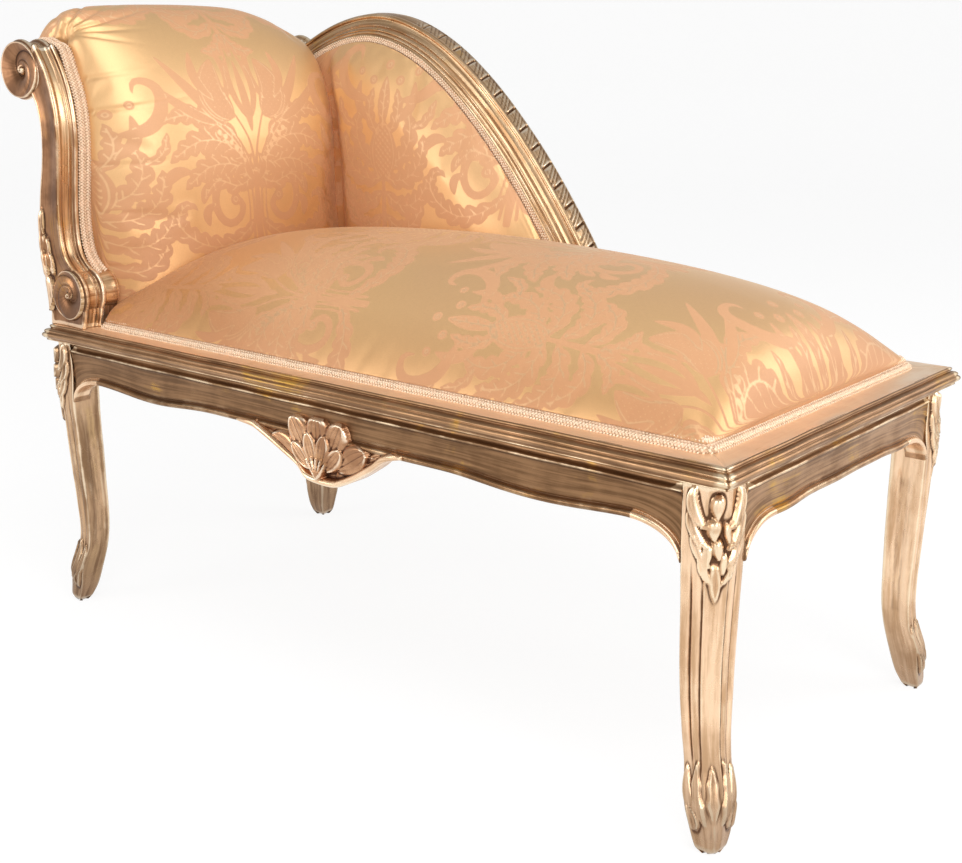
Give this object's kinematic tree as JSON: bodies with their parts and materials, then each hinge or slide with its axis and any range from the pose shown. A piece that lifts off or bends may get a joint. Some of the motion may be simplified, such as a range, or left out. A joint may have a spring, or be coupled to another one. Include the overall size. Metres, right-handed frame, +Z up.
{
  "type": "chaise longue",
  "caption": "Gilded wooden chaise longue with one scrolled head end, an arched part-length back, cabriole legs and a domed damask seat.",
  "frame": {"origin": "on the floor, below the middle of the whole object's bounding box", "axes": "+X towards the foot end, +Y towards the back panel, +Z up; the open long side faces -Y"},
  "size_m": [1.1864, 0.563, 0.8693],
  "materials": {
    "giltwood": "antiqued gold leaf",
    "frame_wood": "bare beech",
    "damask": "woven damask",
    "braid": "woven gimp braid",
    "jute": "jute webbing and hessian"
  },
  "bodies": {
    "root": {"front_left_leg": "giltwood", "back_left_leg": "giltwood", "front_right_leg": "giltwood", "back_right_leg": "giltwood", "front_rail": "giltwood", "back_rail": "giltwood", "foot_rail": "giltwood", "head_rail": "giltwood", "front_shell_carving": "giltwood", "front_margin_board": "giltwood", "back_margin_board": "giltwood", "foot_margin_board": "giltwood", "head_margin_board": "giltwood", "head_stile_front": "giltwood", "head_stile_rear": "giltwood", "back_crest_rail": "giltwood", "corner_blocks": "frame_wood", "head_crest_rail": "frame_wood", "head_lower_rail": "frame_wood", "back_lower_rail": "frame_wood", "head_pad": "damask", "back_pad": "damask", "seat_pad": "damask", "head_outer_panel": "damask", "back_outer_panel": "damask", "head_gimp": "braid", "back_gimp": "braid", "seat_gimp": "braid", "head_webbing": "jute", "back_webbing": "jute", "seat_webbing": "jute", "back_hessian": "jute", "seat_hessian": "jute"}
  },
  "joints": []
}
